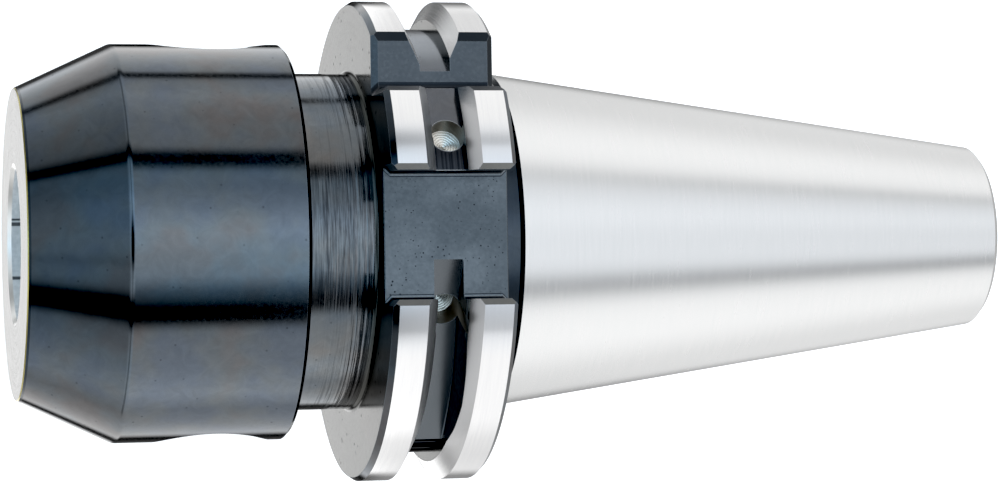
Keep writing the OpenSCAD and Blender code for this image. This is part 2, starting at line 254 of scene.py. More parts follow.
def groundSteel(name, light, dark, rough, depth=1.0, edgeTint=1.0):
    # Hardened steel ground between centres: bright, with fine bright and dull lines round the axis. The real lines
    # are about 0.05 mm apart and wouldn't show, so they are drawn at 0.3 mm.
    material, tree = newMaterial(name)
    spot, xyz, radius, around = axisCoords(tree, 3.0)
    lineScale = 1 / (0.3 * mm)
    along = addNode(tree, "Math", {0: xyz.outputs["X"], 1: lineScale}, operation="MULTIPLY")
    along = addNode(tree, "Math", {0: radius, 1: lineScale, 2: along}, operation="MULTIPLY_ADD")
    along = addNode(tree, "CombineXYZ", {"X": along})
    ground = addNode(tree, "VectorMath", {0: along, 1: around}, operation="ADD")
    lines = addNode(tree, "TexNoise", {"Vector": ground, "Scale": 1.0, "Detail": 3.0, "Roughness": 0.7})
    tint = fillRamp(addNode(tree, "ValToRGB", {"Fac": lines}), [(0.3, dark), (0.7, light)])
    dull = addNode(tree, "MapRange", {"Value": lines, "From Min": 0.3, "From Max": 0.7,
                                      "To Min": rough - 0.04 * depth, "To Max": rough + 0.04 * depth})
    bump = addNode(tree, "Bump", {"Strength": 0.1 * depth, "Distance": 0.01 * mm, "Height": lines})
    shader = addNode(tree, "BsdfPrincipled", {"Base Color": tint, "Metallic": 1.0, "Roughness": dull,
                                              "Specular Tint": (edgeTint, edgeTint, edgeTint, 1), "Normal": bump})
    addNode(tree, "OutputMaterial", {"Surface": shader})
    return material


def drilledSteel(name, axis):
    # The bottom of a hole drilled through the finish: bare steel with the drill's rings about the hole's own axis.
    # The real rings are finer and are drawn 0.33 mm apart to show.
    material, tree = newMaterial(name)
    spot = addNode(tree, "TexCoord").outputs["Object"]
    offset = addNode(tree, "VectorMath", {0: spot, 1: axis[0] * mm}, operation="SUBTRACT")
    cross = addNode(tree, "VectorMath", {0: offset, 1: axis[1]}, operation="CROSS_PRODUCT")
    radius = addNode(tree, "VectorMath", {0: cross}, operation="LENGTH").outputs["Value"]
    wander = addNode(tree, "TexNoise", {"Vector": spot, "Scale": 1 / (0.8 * mm), "Detail": 3.0})
    wander = addNode(tree, "Math", {0: wander, 1: 7.0}, operation="MULTIPLY")
    turns = addNode(tree, "Math", {0: radius, 1: 2 * math.pi / (0.33 * mm), 2: wander}, operation="MULTIPLY_ADD")
    rings = addNode(tree, "Math", {0: turns}, operation="SINE")
    rings = addNode(tree, "MapRange", {"Value": rings, "From Min": -1.0})
    tint = fillRamp(addNode(tree, "ValToRGB", {"Fac": rings}), [(0.1, "#e2dcd0"), (0.5, "#fffaf0")])
    bump = addNode(tree, "Bump", {"Strength": 0.25, "Distance": 0.02 * mm, "Height": rings})
    shader = addNode(tree, "BsdfPrincipled", {"Base Color": tint, "Metallic": 0.85, "Roughness": 0.24,
                                              "Normal": bump})
    addNode(tree, "OutputMaterial", {"Surface": shader})
    return material


def honedSteel(name):
    # Honed bore: bright satin steel, with a few painted dark reflection lines along its lower wall near the mouth
    material, tree = newMaterial(name)
    spot = addNode(tree, "TexCoord").outputs["Object"]
    xyz = addNode(tree, "SeparateXYZ", {0: spot})
    grain = addNode(tree, "TexNoise", {"Vector": spot, "Scale": 1 / (0.6 * mm), "Detail": 3.0})
    colour = fillRamp(addNode(tree, "ValToRGB", {"Fac": grain}), [(0.3, "#dfe1e1"), (0.7, "#f4f5f5")])
    inner, mouth = marksAndPaintedLight["coolant"]
    reach = addNode(tree, "MapRange", {"Value": xyz.outputs["X"], "From Min": inner * mm, "From Max": mouth * mm,
                                       "To Max": 0.9})
    low = addNode(tree, "Math", {0: xyz.outputs["Z"], 1: 0.0}, operation="LESS_THAN")
    reach = addNode(tree, "Math", {0: reach, 1: low}, operation="MULTIPLY")
    # painted dark reflection lines along the bore
    for y, width in marksAndPaintedLight["coolantLines"]:
        line = lineMask(tree, xyz.outputs["Y"], y, 0.6 * width, width, reach, 0.0)
        colour = addNode(tree, "MixRGB", {"Fac": line, "Color1": colour, "Color2": linearColour(boreReflectionColour)})
    bump = addNode(tree, "Bump", {"Strength": 0.1, "Distance": 0.01 * mm, "Height": grain})
    shader = addNode(tree, "BsdfPrincipled", {"Base Color": colour, "Metallic": 0.25, "Roughness": 0.5,
                                              "Normal": bump})
    addNode(tree, "OutputMaterial", {"Surface": shader})
    return material


turnedBlack = blackOxideTurned("blackOxideTurned", [(0.39, "#555c65"), (0.5, "#5a5f63"), (0.6, "#5b5a5b")], 0.08,
                               0.02)
# the neck carries a painted dark reflection on its upper side
neckBlack = blackOxideTurned("blackOxideNeck", [(0.36, "#5c646c"), (0.5, "#63676a"), (0.62, "#696867")], 0.1, 0.55,
                             neckReflectionShade=0.72)
facedBlack = blackOxideTurned("blackOxideFaced", [(0.36, "#464846"), (0.5, "#484a48"), (0.62, "#4b4b49")], 0.14, 0.04,
                              0.64, 0.7, 0.1)
# the groove root is painted paler on its +Y side as painted light, and nearly black towards -Y as a painted
# reflection of the holder's shadow
rootBlack = blackOxideTurned("blackOxideRoot", [(0.4, "#5d6168"), (0.6, "#606266")], 0.14, 0.04, 0.55,
                             rubbed="#a4a4a4", pooled=0.95, paintedReflection=0.8)
collarBlack = blackOxideTurned("blackOxideCollar", [(0.4, "#394048"), (0.6, "#3f4448")], 0.14, 0.06)
milledBlack = blackOxideMilled("blackOxideMilled", [(0.3, "#474c51"), (0.7, "#4f5357")], 0.26)
chamferBlack = blackOxideMilled("blackOxideChamfer", [(0.3, "#2c3137"), (0.7, "#35393d")], 0.3)
flatBlack = blackOxideMilled("blackOxideFlat", [(0.3, "#5f6468"), (0.7, "#666a6e")], 0.2, 0.02, 0.02)
slotBlack = blackOxideMilled("blackOxideSlotFloor", [(0.4, "#50565b"), (0.6, "#5f656a")], 0.28, 0.25)
# painted shade: a darker copy of the milled oxide for the concave corner fillets of the slots and the notch
shadedCornerBlack = blackOxideMilled("blackOxideCornerPaintedShade", [(0.3, "#2b2e33"), (0.7, "#33373c")], 0.3)
edgeBlack = blackOxideMilled("blackOxideSlotEdge", [(0.3, "#646564"), (0.7, "#717271")], 0.3)
# painted shade: nearly black oxide for the balancing flat's deep wall
shadedWallBlack = blackOxideMilled("blackOxideDeepWallPaintedShade", [(0.3, "#151312"), (0.7, "#1b1817")], 0.4)
# painted highlight: a brighter copy of the milled oxide for thin lines along the slot corners and the foot of the
# balancing flat's wall
highlightLineBlack = blackOxideMilled("blackOxidePaintedHighlight", [(0.3, "#6f767c"), (0.7, "#7f868c")], 0.4)
# painted shade: the hole walls are drawn much darker than the bright drilled bottoms, for the shade inside the holes
shadedHoleWall = groundSteel("drilledWallSteelPaintedShade", "#78736b", "#6a655e", 0.3)
groundTaper = groundSteel("groundTaperSteel", "#dddddd", "#d9dada", 0.26, 0.4)
groundFlange = groundSteel("groundFlangeSteel", "#f2f2f2", "#ededee", 0.11, 0.3)
groundFlank = groundSteel("groundFlankSteel", "#d9d9d9", "#d0d0d1", 0.24, 0.3)
groundFrontFlank = groundSteel("groundFrontFlankSteel", "#dcdcdc", "#d2d2d3", 0.4)
groundNose = groundSteel("groundNoseSteel", "#c6c6c4", "#bababa", 0.25, 1.0, 0.465)
mouthSteel = groundSteel("turnedMouthSteel", "#eeefed", "#e2e3e1", 0.3)
boreSteel = honedSteel("honedBoreSteel")
strawSteel = groundSteel("strawTemperedSteel", "#bdb474", "#a59b58", 0.25)
print("materials made")


# Mesh helpers. A kind of face has a material and the axis its normals turn about, or none where it is flat.

over = 1.0  # how far a cutter stands out of what it cuts
pinR = 0.02  # a point on an axis is a tiny circle
roundSteps = 64
toolAxis = (Vector((0, 0, 0)), Vector((1, 0, 0)))
kinds = []


def faceKind(material, axis=None, smooth=0.0):  # smooth is how far neighbours' normals may differ, as a cosine
    kinds.append({"material": material, "axis": axis, "smooth": smooth})
    return len(kinds) - 1


def meshObject(name, points, faces, faceKinds):
    mesh = bpy.data.meshes.new(name)
    mesh.from_pydata(points, [], faces)
    for kind in kinds:
        mesh.materials.append(kind["material"])
    mesh.polygons.foreach_set("material_index", faceKinds)
    shape = bmesh.new()
    shape.from_mesh(mesh)
    bmesh.ops.recalc_face_normals(shape, faces=shape.faces)
    shape.to_mesh(mesh)
    shape.free()
    piece = bpy.data.objects.new(name, mesh)
    scene.collection.objects.link(piece)
    return piece


def loft(name, rings, kindOf, loop=False, endKinds=(0, 0)):  # joins rings of points; a loop has no ends
    count = len(rings[0])
    points = [p for ring in rings for p in ring]
    faces, faceKinds = [], []
    for band in range(len(rings) - (0 if loop else 1)):
        after = (band + 1) % len(rings)
        for side in range(count):
            nextSide = (side + 1) % count
            faces.append((band * count + side, band * count + nextSide,
                          after * count + nextSide, after * count + side))
            faceKinds.append(kindOf(band, side))
    if not loop:
        faces += [tuple(range(count))[::-1], tuple(range((len(rings) - 1) * count, len(rings) * count))]
        faceKinds += endKinds
    return meshObject(name, points, faces, faceKinds)


def circle(steps, x, r):
    return [(x, r * math.sin(2 * math.pi * i / steps), r * math.cos(2 * math.pi * i / steps)) for i in range(steps)]


def moved(piece, matrix):
    piece.data.transform(matrix)
    return piece


def alongAxis(start, direction):  # turns local X to the direction, at start
    return Matrix.Translation(start) @ direction.to_track_quat("X", "Z").to_matrix().to_4x4()


def boolean(piece, tool, how="DIFFERENCE"):
    step = piece.modifiers.new("cut", "BOOLEAN")
    step.operation, step.solver, step.material_mode, step.object = how, "EXACT", "INDEX", tool
    graph = bpy.context.evaluated_depsgraph_get()
    result = bpy.data.meshes.new_from_object(piece.evaluated_get(graph))
    piece.modifiers.clear()
    piece.data = result
    bpy.data.objects.remove(tool)


threadShape = {"rootEnd": 0.25, "crestStart": 0.5625, "crestEnd": 0.6875, "turnSteps": 48}  # shares of the pitch


def threadRod(name, length, pitch, rootR, crestR, slack, kind):
    # One closed strip that climbs a pitch each turn; column 0 is met again by the last column a pitch further on
    t = threadShape
    outline = [(-slack, rootR), (t["rootEnd"] + slack, rootR), (t["crestStart"] + slack, crestR),
               (t["crestEnd"] - slack, crestR)]
    per, turnSteps = len(outline), t["turnSteps"]
    rows = per * int(round(length / pitch)) + 1
    points, start = [], []
    for i in range(turnSteps):
        start.append(len(points))
        for j in range(rows + (per if i == 0 else 0)):
            share, r = outline[j % per]
            x = pitch * (j // per + share + i / turnSteps)
            a = 2 * math.pi * i / turnSteps
            points.append((x, r * math.sin(a), r * math.cos(a)))
    faces = []
    for i in range(turnSteps):
        other = start[0] + per if i == turnSteps - 1 else start[i + 1]
        faces += [(start[i] + j, other + j, other + j + 1, start[i] + j + 1) for j in range(rows - 1)]
    for end in (0, rows - 1):
        rim = [start[i] + end for i in range(turnSteps)] + [start[0] + end + per - j for j in range(per)]
        points.append((points[start[0] + end][0] + pitch / 2, 0, 0))
        faces += [(rim[k], rim[(k + 1) % len(rim)], len(points) - 1) for k in range(len(rim))]
    return meshObject(name, points, faces, [kind] * len(faces))


def shadeAsMade(piece):  # sets the normals of the real surfaces, so cuts leave no marks on them
    mesh = piece.data
    mesh.polygons.foreach_set("use_smooth", [True] * len(mesh.polygons))
    normals = [None] * len(mesh.loops)
    nearby = {}
    for face in mesh.polygons:
        if kinds[face.material_index]["smooth"]:
            for v in face.vertices:
                nearby.setdefault(v, []).append(face)
    for face in mesh.polygons:
        kind = kinds[face.material_index]
        flat = face.normal
        for loopIndex, v in zip(face.loop_indices, face.vertices):
            normal = flat
            if kind["axis"]:
                origin, axis = kind["axis"]
                outward = face.center - origin
                outward = (outward - axis * outward.dot(axis)).normalized()
                here = mesh.vertices[v].co - origin
                here = here - axis * here.dot(axis)
                if here.length > 1e-6:
                    normal = (axis * flat.dot(axis) + here.normalized() * flat.dot(outward)).normalized()
            elif kind["smooth"]:
                total = Vector((0, 0, 0))
                for other in nearby[v]:
                    if other.normal.dot(flat) > kind["smooth"]:
                        total += other.normal * other.area
                normal = total.normalized()
            normals[loopIndex] = normal
    mesh.normals_split_custom_set(normals)


def finishPiece(piece, body, node):
    shadeAsMade(piece)
    mesh = piece.data
    used = []
    for kind in kinds:
        if kind["material"] not in used:
            used.append(kind["material"])
    order = [used.index(kinds[p.material_index]["material"]) for p in mesh.polygons]
    mesh.materials.clear()
    for material in used:
        mesh.materials.append(material)
    mesh.polygons.foreach_set("material_index", order)
    mesh.transform(Matrix.Scale(mm, 4))
    mesh.update()
    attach(piece, body)
    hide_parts(node)
    print(piece.name, len(mesh.polygons), "faces")


# Holder body: one turned outline with its bore, then the milled and drilled cuts. X is measured from the gauge line.

holderBody = {
    "steps": 288, "cornerSteps": 8,
    "gaugeR": 22.225, "taperLength": 68.4, "taperSlope": 0.145835, "endChamfer": 0.6,
    "leadChamfer": 0.55, "lead": 0.77,
    "studCore": 6.95, "studCrest": 8.0, "studThread": 42.0, "studPilotR": 8.5, "studPilot": 8.0, "studMouth": 1.0,
    "studThreadUnder": 0.1, "studThreadShift": 0.3, "coolantR": 5.0, "pitch": 2.0,
    "flangeR": 31.775, "flangeFront": -19.1, "flangeBack": -3.2, "frontChamfer": (0.75, 0.5), "backChamfer": 0.6,
    "grooveX": -11.1, "veeApex": 25.65, "veeTan": math.tan(math.radians(30)),
    "rootR": 28.125, "rootX": -10.9, "rootWidth": 3.95,
    "noseX": -63.0, "noseR": 20.35, "noseBreak": 0.15, "edgeBand": 0.3, "cone": 12.25, "coneRounding": 1.7,
    "bodyR": 26.0, "shoulderX": -28.3, "shoulderChamfer": 0.5, "neckR": 22.2, "neckFillet": 0.6,
    "rings": ((-22.9, 0.004), (-21.95, 0.008), (-20.8, 0.010)), "ringWidth": 0.33,
    "boreR": 10.0, "boreEnd": -11.0, "boreChamfer": 0.5,
}
keySlots = {"halfWidth": 8.05, "floors": (25.0, 22.8), "chamfer": 0.8, "floorChamfer": 0.12, "fillet": 0.7,
            "filletSteps": 8, "chamferRun": 6}
notch = {"wall": 18.5, "floor": 18.8, "chamfer": 0.8, "fillet": 1.0, "filletSteps": 6, "chamferRun": 4, "outside": 34}
balancing = {
    "flatAngle": 32.0, "flatWidth": 3.8, "flatR": 22.8, "flatFoot": 0.12, "flatTop": 29.8, "flatHalfLength": 28,
    "flatBow": ((28, 0), (3.7, 0), (-2, 0.3), (-7.2, 0.45), (-12, 0.3), (-16.5, 0), (-28, 0)),
    "holeR": 2.2, "tip": 0.35, "upperAngle": -26.5, "upperBottom": 25.425, "lowerAngle": 23.5, "lowerBottom": 18.95,
}
screwHole = {"x": -38.0, "crest": 8.1, "root": 6.95, "rodStart": 2, "rodLength": 26, "mouthDepth": 0.7,
             "mouthR": (7.8, 9.5)}
relief = {"r": 7.7, "depth": 6.0}


def spoke(angle):  # direction at an angle from +Z towards -Y
    return Vector((0, -math.sin(math.radians(angle)), math.cos(math.radians(angle))))


screwAxis = (Vector((screwHole["x"], 0, 0)), Vector((0, 1, 0)))
upperAxis = (Vector((holderBody["rootX"], 0, 0)), spoke(balancing["upperAngle"]))
lowerAxis = (Vector((holderBody["rootX"], 0, 0)), spoke(balancing["lowerAngle"]))

kTurned = faceKind(turnedBlack, toolAxis)
kTaper = faceKind(groundTaper, toolAxis)
kGround = faceKind(groundFlange, toolAxis)
kNose = faceKind(groundNose, toolAxis)
kStraw = faceKind(strawSteel, toolAxis)
kBore = faceKind(boreSteel, toolAxis)
kMouth = faceKind(mouthSteel, toolAxis)
kNeck = faceKind(neckBlack, toolAxis)
kFace = faceKind(facedBlack, toolAxis)
kCollar = faceKind(collarBlack, toolAxis)
kRoot = faceKind(rootBlack, toolAxis)
kFlank = faceKind(groundFlank, toolAxis)
kFrontFlank = faceKind(groundFrontFlank, toolAxis)
kConeEdge = faceKind(collarBlack, toolAxis)
kFloor = faceKind(slotBlack)
kFlat = faceKind(flatBlack)
kFillet = faceKind(shadedCornerBlack, None, 0.8)
kHighlightLine = faceKind(highlightLineBlack)
kMilled = faceKind(milledBlack)
kChamfer = faceKind(chamferBlack)
kSlotEdge = faceKind(edgeBlack)
kDeepWall = faceKind(shadedWallBlack)
kUpperWall = faceKind(shadedHoleWall, upperAxis)
kLowerWall = faceKind(shadedHoleWall, lowerAxis)
kUpperBottom = faceKind(drilledSteel("upperDrilledSteel", upperAxis))
kLowerBottom = faceKind(drilledSteel("lowerDrilledSteel", lowerAxis))
kScrewHole = faceKind(turnedBlack, screwAxis)
kThread = faceKind(turnedBlack, None, 0.8)


def arc(centreX, centreR, size, start, end, steps):  # corner of an outline, angles from the radial way towards +X
    angles = [math.radians(start + (end - start) * i / steps) for i in range(steps + 1)]
    return [(centreX + size * math.sin(a), centreR + size * math.cos(a)) for a in angles]


def bodyOutline(s):  # points (x, r) and the kind of the band after each
    taperR = lambda x: s["gaugeR"] - s["taperSlope"] * x
    veeR = lambda x: s["veeApex"] + abs(x - s["grooveX"]) / s["veeTan"]
    veeHalf = (s["flangeR"] - s["veeApex"]) * s["veeTan"]
    rootFront, rootBack = s["rootX"] - s["rootWidth"] / 2, s["rootX"] + s["rootWidth"] / 2
    front, back, length = s["flangeFront"], s["flangeBack"], s["taperLength"]
    landX = front - s["neckFillet"]
    outline = []

    def add(kind, *points):
        outline.extend((x, r, kind) for x, r in points)

    add(kNose, (s["noseX"], s["boreR"] + s["boreChamfer"]))
    add(kStraw, (s["noseX"], s["noseR"] - s["noseBreak"]))
    add(kConeEdge, (s["noseX"] + s["noseBreak"], s["noseR"]))  # darker line behind the straw edge
    slope = (s["bodyR"] - s["noseR"]) / (s["cone"] - s["noseBreak"])
    tilt = math.degrees(math.atan(slope))
    add(kTurned, (s["noseX"] + s["noseBreak"] + s["edgeBand"], s["noseR"] + slope * s["edgeBand"]))
    tangent = s["coneRounding"] * math.tan(math.radians(tilt / 2))
    add(kTurned, *arc(s["noseX"] + s["cone"] + tangent, s["bodyR"] - s["coneRounding"], s["coneRounding"], -tilt, 0,
                      s["cornerSteps"]))
    add(kTurned, (s["shoulderX"] - s["shoulderChamfer"], s["bodyR"]),
        (s["shoulderX"], s["bodyR"] - s["shoulderChamfer"]))
    add(kNeck, *arc(s["shoulderX"] + s["neckFillet"], s["neckR"] + s["neckFillet"], s["neckFillet"], 270, 180,
                    s["cornerSteps"]))
    for x, depth in s["rings"]:  # shallow rings that the tool left
        add(kNeck, *[(x + s["ringWidth"] * (k / 4 - 1), s["neckR"] - depth * (1 - math.cos(math.pi * k / 4)) / 2)
                     for k in range(9)])
    add(kFace, *arc(landX, s["neckR"] + s["neckFillet"], s["neckFillet"], 180, 90, s["cornerSteps"])[:-1])
    add(kFace, (front, s["neckR"] + s["neckFillet"]))
    add(kTurned, (front, s["flangeR"] - s["frontChamfer"][1]))
    add(kGround, (front + s["frontChamfer"][0], s["flangeR"]))
    add(kFrontFlank, (s["grooveX"] - veeHalf, s["flangeR"]))
    add(kRoot, (rootFront, veeR(rootFront)), (rootFront, s["rootR"]))
    add(kFace, (rootBack, s["rootR"]))
    add(kFlank, (rootBack, veeR(rootBack)))
    add(kGround, (s["grooveX"] + veeHalf, s["flangeR"]))
    add(kTurned, (back - s["backChamfer"], s["flangeR"]), (back, s["flangeR"] - s["backChamfer"]))
    add(kCollar, (back, taperR(-s["lead"]) - s["leadChamfer"]), (-s["lead"], taperR(-s["lead"]) - s["leadChamfer"]))
    add(kTaper, (s["leadChamfer"] - s["lead"], taperR(s["leadChamfer"] - s["lead"])),
        (length - s["endChamfer"], taperR(length - s["endChamfer"])))
    add(kTurned, (length, taperR(length) - s["endChamfer"]), (length, s["studPilotR"] + s["studMouth"]))
    add(kBore, (length - s["studMouth"], s["studPilotR"]), (length - s["studPilot"], s["studPilotR"]))
    add(kTurned, (length - s["studPilot"], s["studCore"]), (length - s["studThread"], s["studCore"]))
    add(kTurned, (length - s["studThread"], s["coolantR"]), (s["boreEnd"], s["coolantR"]))
    add(kBore, (s["boreEnd"], s["boreR"]))
    add(kMouth, (s["noseX"] + s["boreChamfer"], s["boreR"]))
    return outline


def slotCutter(name, floor, side, s, k):  # stations along X of one section, wider where the ends are chamfered
    half, front, back = s["halfWidth"], k["flangeFront"], k["flangeBack"]
    edge = Vector((half, math.sqrt(k["flangeR"] ** 2 - half ** 2)))
    out = edge.normalized()
    start = edge - Vector((0, s["chamfer"]))
    slope = (edge + s["chamfer"] * Vector((out.y, -out.x))) - start
    far = start + slope * s["chamferRun"]

    def section(x, grow, drop):
        w, f, r = half + grow, floor - drop, s["fillet"]
        wallTop = start.y + (w - start.x) * slope.y / slope.x
        right = arc(w - r, f + r, r, 180, 90, s["filletSteps"]) + [(w, wallTop), (far.x, far.y)]
        return [(x, y, side * z) for y, z in right + [(-y, z) for y, z in reversed(right)]]

    c, f = s["chamfer"], s["floorChamfer"]
    stations = ((front - over, c, f), (front, c, f), (front + f, c - f, 0), (front + c, 0, 0),
                (back - c, 0, 0), (back - f, c - f, 0), (back, c, f), (back + over, c, f))
    rings = [section(*station) for station in stations]
    steps, last = s["filletSteps"], len(rings[0]) - 1
    sides = {n: kFillet for n in list(range(steps)) + list(range(last - steps, last))}
    sides.update({n: kHighlightLine for n in (1, 2, last - 2, last - 3)})  # two faces of the corner fillet drawn bright, a painted highlight line along the cutter's corner
    sides.update({last: kFloor, steps + 1: kSlotEdge, last - steps - 2: kSlotEdge})
    return loft(name, rings, lambda band, n: sides.get(n, kMilled), endKinds=(kMilled, kMilled))


def notchCutter(s, k):
    front, back, r = k["flangeFront"], k["flangeBack"], k["flangeR"]
    wallEdge = Vector((math.sqrt(r * r - s["wall"] ** 2), s["wall"]))
    floorEdge = Vector((s["floor"], math.sqrt(r * r - s["floor"] ** 2)))

    def chamferLine(edge, inward, turn):
        out = edge.normalized()
        start = edge + s["chamfer"] * inward
        return start, edge + turn * s["chamfer"] * Vector((out.y, -out.x)) - start

    wallStart, wallSlope = chamferLine(wallEdge, Vector((-1, 0)), 1)
    floorStart, floorSlope = chamferLine(floorEdge, Vector((0, -1)), -1)
    wallFar, floorFar = wallStart + wallSlope * s["chamferRun"], floorStart + floorSlope * s["chamferRun"]

    def section(x, drop):
        wall, floor = s["wall"] - drop, s["floor"] - drop
        wallY = wallStart.x + (wall - wallStart.y) * wallSlope.x / wallSlope.y
        floorZ = floorStart.y + (floor - floorStart.x) * floorSlope.y / floorSlope.x
        corner = arc(floor + s["fillet"], wall + s["fillet"], s["fillet"], 270, 180, s["filletSteps"])
        rest = [(wallY, wall), tuple(wallFar), (s["outside"], s["outside"]), tuple(floorFar), (floor, floorZ)]
        return [(x, y, z) for y, z in corner + rest]

    c = s["chamfer"]
    stations = ((front - over, c), (front, c), (front + c, 0), (back - c, 0), (back, c), (back + over, c))
    steps = s["filletSteps"]
    sides = {n: kFillet for n in range(steps)}
    sides.update({steps + 1: kChamfer, steps + 4: kChamfer})
    return loft("notchCutter", [section(*station) for station in stations],
                lambda band, n: kChamfer if band == 3 else sides.get(n, kMilled), endKinds=(kMilled, kMilled))


def flatCutter(s, k):  # its wall towards the taper bows outwards and is painted nearly black as shade, with a thin step at its foot painted bright as a highlight
    half, walls, far = s["flatWidth"] / 2, len(s["flatBow"]) - 1, s["flatHalfLength"]
    rings = [[(k["rootX"] + half + out - foot, y, z) for y, out in s["flatBow"]] +
             [(k["rootX"] - half, -far, z), (k["rootX"] - half, far, z)]
             for z, foot in ((s["flatR"], s["flatFoot"]), (s["flatR"] + s["flatFoot"], 0), (s["flatTop"], 0))]
    tool = loft("balancingFlat", rings, lambda band, n: kMilled if n >= walls else (kHighlightLine, kDeepWall)[band],
                endKinds=(kFlat, kMilled))
    return moved(tool, Matrix.Rotation(math.radians(s["flatAngle"]), 4, "X"))


def drill(name, axis, bottom, top, r, wallKind, bottomKind, tip=0.0):  # hole with a slightly conical or flat bottom
    rings = [circle(roundSteps, bottom - tip, pinR), circle(roundSteps, bottom, r), circle(roundSteps, top, r)]
    tool = loft(name, rings, lambda band, n: (bottomKind, wallKind)[band], endKinds=(bottomKind, wallKind))
    return moved(tool, alongAxis(axis[0], axis[1]))


def screwRod(name, root, crest, slack):  # threaded rod on the clamping screw's axis
    s = screwHole
    rod = threadRod(name, s["rodLength"], holderBody["pitch"], root, crest, slack, kThread)
    return moved(rod, alongAxis(Vector((s["x"], s["rodStart"], 0)), screwAxis[1]))


def makeHolderBody():
    s, b = holderBody, balancing
    outline = bodyOutline(s)
    rings = [circle(s["steps"], x, r) for x, r, kind in outline]
    body = loft("holderBody", rings, lambda band, n: outline[band][2], loop=True)
    print("outline turned")
    boolean(body, slotCutter("shallowSlot", keySlots["floors"][0], 1, keySlots, s))
    boolean(body, slotCutter("deepSlot", keySlots["floors"][1], -1, keySlots, s))
    boolean(body, notchCutter(notch, s))
    boolean(body, flatCutter(b, s))
    for name, axis, bottom, wallKind, bottomKind in (
            ("upperHole", upperAxis, b["upperBottom"], kUpperWall, kUpperBottom),
            ("lowerHole", lowerAxis, b["lowerBottom"], kLowerWall, kLowerBottom)):
        boolean(body, drill(name, axis, bottom, s["rootR"] + over, b["holeR"], wallKind, bottomKind, b["tip"]))
    reliefAxis = (screwAxis[0], -screwAxis[1])
    boolean(body, drill("reliefBore", reliefAxis, s["bodyR"] - relief["depth"], s["bodyR"] + over, relief["r"],
                        kScrewHole, kMilled))
    boolean(body, screwRod("screwHoleCutter", screwHole["root"], screwHole["crest"], 0.0))
    ends = (s["bodyR"] - screwHole["mouthDepth"], s["bodyR"] + over)
    mouth = [circle(roundSteps, x, r) for x, r in zip(ends, screwHole["mouthR"])]
    mouth = loft("screwMouth", mouth, lambda band, n: kScrewHole, endKinds=(kScrewHole, kScrewHole))
    boolean(body, moved(mouth, alongAxis(screwAxis[0], screwAxis[1])))
    stud = threadRod("studThread", s["studThread"] - s["studPilot"] + over, s["pitch"],
                     s["studCore"] - s["studThreadUnder"], s["studCrest"], 0.0, kThread)
    studStart = s["taperLength"] - s["studThread"] + s["studThreadShift"]
    boolean(body, moved(stud, Matrix.Translation((studStart, 0, 0))))
    finishPiece(body, "holder", "holder_body")


# Clamping screw: headless, M16, with a flat tip and a hexagon socket

clampingScrew = {"r": 7.95, "root": 6.75, "slack": 0.03, "blankOver": 0.05, "steps": 96, "length": 14.0, "tip": 10.2,
                 "tipChamfer": 1.6, "topChamfer": 0.9, "socket": 8.0, "socketDepth": 8.0,
                 "leadDepth": 0.16, "leadR": (0.88, 1.3), "leadOver": 0.3}  # depth and radii as shares of the corner


def makeClampingScrew():
    s = clampingScrew
    low, high, r = s["tip"], s["tip"] + s["length"], s["r"] + s["blankOver"]
    rod = screwRod("clampingScrew", s["root"], s["r"], s["slack"])
    outline = [(low, pinR), (low, r - s["tipChamfer"]), (low + s["tipChamfer"], r),
               (high - s["topChamfer"], r), (high, r - s["topChamfer"]), (high, pinR)]
    blank = loft("screwBlank", [circle(s["steps"], x, r) for x, r in outline], lambda band, n: kScrewHole,
                 endKinds=(kScrewHole, kScrewHole))
    boolean(rod, moved(blank, alongAxis(screwAxis[0], screwAxis[1])), "INTERSECT")
    corner = s["socket"] / math.sqrt(3)
    socket = loft("socket", [circle(6, high - s["socketDepth"], corner), circle(6, high + over, corner)],
                  lambda band, n: kMilled, endKinds=(kMilled, kMilled))
    boolean(rod, moved(socket, alongAxis(screwAxis[0], screwAxis[1])))
    lead = [circle(roundSteps, high - corner * s["leadDepth"], corner * s["leadR"][0]),
            circle(roundSteps, high + s["leadOver"], corner * s["leadR"][1])]
    lead = loft("socketLead", lead, lambda band, n: kScrewHole, endKinds=(kMilled, kMilled))
    boolean(rod, moved(lead, alongAxis(screwAxis[0], screwAxis[1])))
    finishPiece(rod, "screw", "clamping_screw")


makeHolderBody()
makeClampingScrew()


# Studio: white floor, light from all round, camera

camera = {"lens": 113.17, "sensor": 36.0, "clip": (0.01, 20.0), "location": (-0.096793, -0.010721, 0.410541),
          "forward": (0.233346, 0.024744, -0.972079), "up": (0.009335, 0.999574, 0.027677)}
studio = {
    "floorDrop": 0.2, "floorSize": 4.0, "floorGlow": 0.75, "light": 2.5,
    "lean": 0.25, "leanFrom": 0.14,  # the boxes stand a little askew to the tool axis
    "slitHalf": (0.05, 0.1), "slitLight": 0.5, "slitEnds": (112, 122), "stand": (0.18, 0.33),
    "patchWay": (-0.22, -0.03, -0.975), "patchReach": (0.34, 0.24), "patchLevel": 0.95,
}
